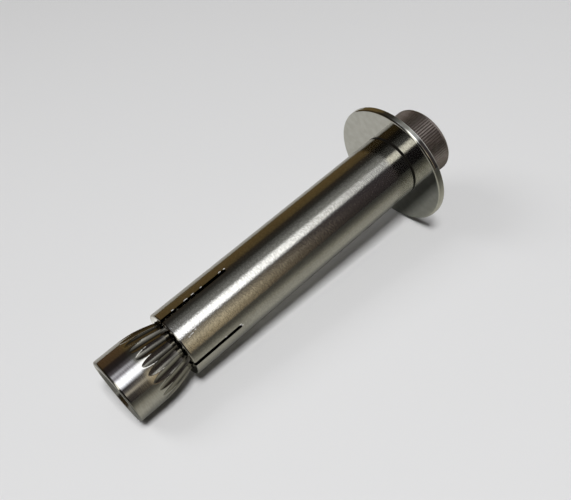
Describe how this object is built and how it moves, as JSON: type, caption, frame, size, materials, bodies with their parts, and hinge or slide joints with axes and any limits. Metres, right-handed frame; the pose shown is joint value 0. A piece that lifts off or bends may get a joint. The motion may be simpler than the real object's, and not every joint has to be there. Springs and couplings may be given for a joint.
{
  "type": "expansion bolt",
  "caption": "Sleeve expansion bolt: socket cap screw, wide flat washer, slotted sleeve and fluted cone nut that draws into the sleeve.",
  "frame": {"origin": "on the bolt's axis at the outer face of the screw's head, on which the bolt stands", "axes": "+Z along the bolt from the head to the cone nut; the sleeve's saw slots lie on the diagonals between X and Y"},
  "size_m": [0.0234, 0.0234, 0.0711],
  "materials": {
    "screw": "bright rolled stainless steel",
    "washer": "mirror polished stainless steel",
    "sleeve": "bright drawn stainless steel",
    "nut": "bright turned stainless steel"
  },
  "bodies": {
    "sleeve": {"sleeve": "sleeve"},
    "screw": {"cap_screw": "screw"},
    "washer": {"washer": "washer"},
    "nut": {"cone_nut": "nut"}
  },
  "joints": [
    {"name": "screw_turn", "type": "hinge", "parent": "sleeve", "child": "screw", "pos_m": [0, 0, 0], "axis": [0, 0, -1], "range_deg": [0, 2160]},
    {"name": "nut_slide", "type": "slide", "parent": "sleeve", "child": "nut", "axis": [0, 0, 1], "range_m": [0, 0.0075]},
    {"name": "washer_spin", "type": "hinge", "parent": "sleeve", "child": "washer", "pos_m": [0, 0, 0.0086], "axis": [0, 0, 1], "continuous": true}
  ],
  "couplings": [
    {"joint": "nut_slide", "follows": "screw_turn", "m_per_rad": 0.00019894}
  ]
}
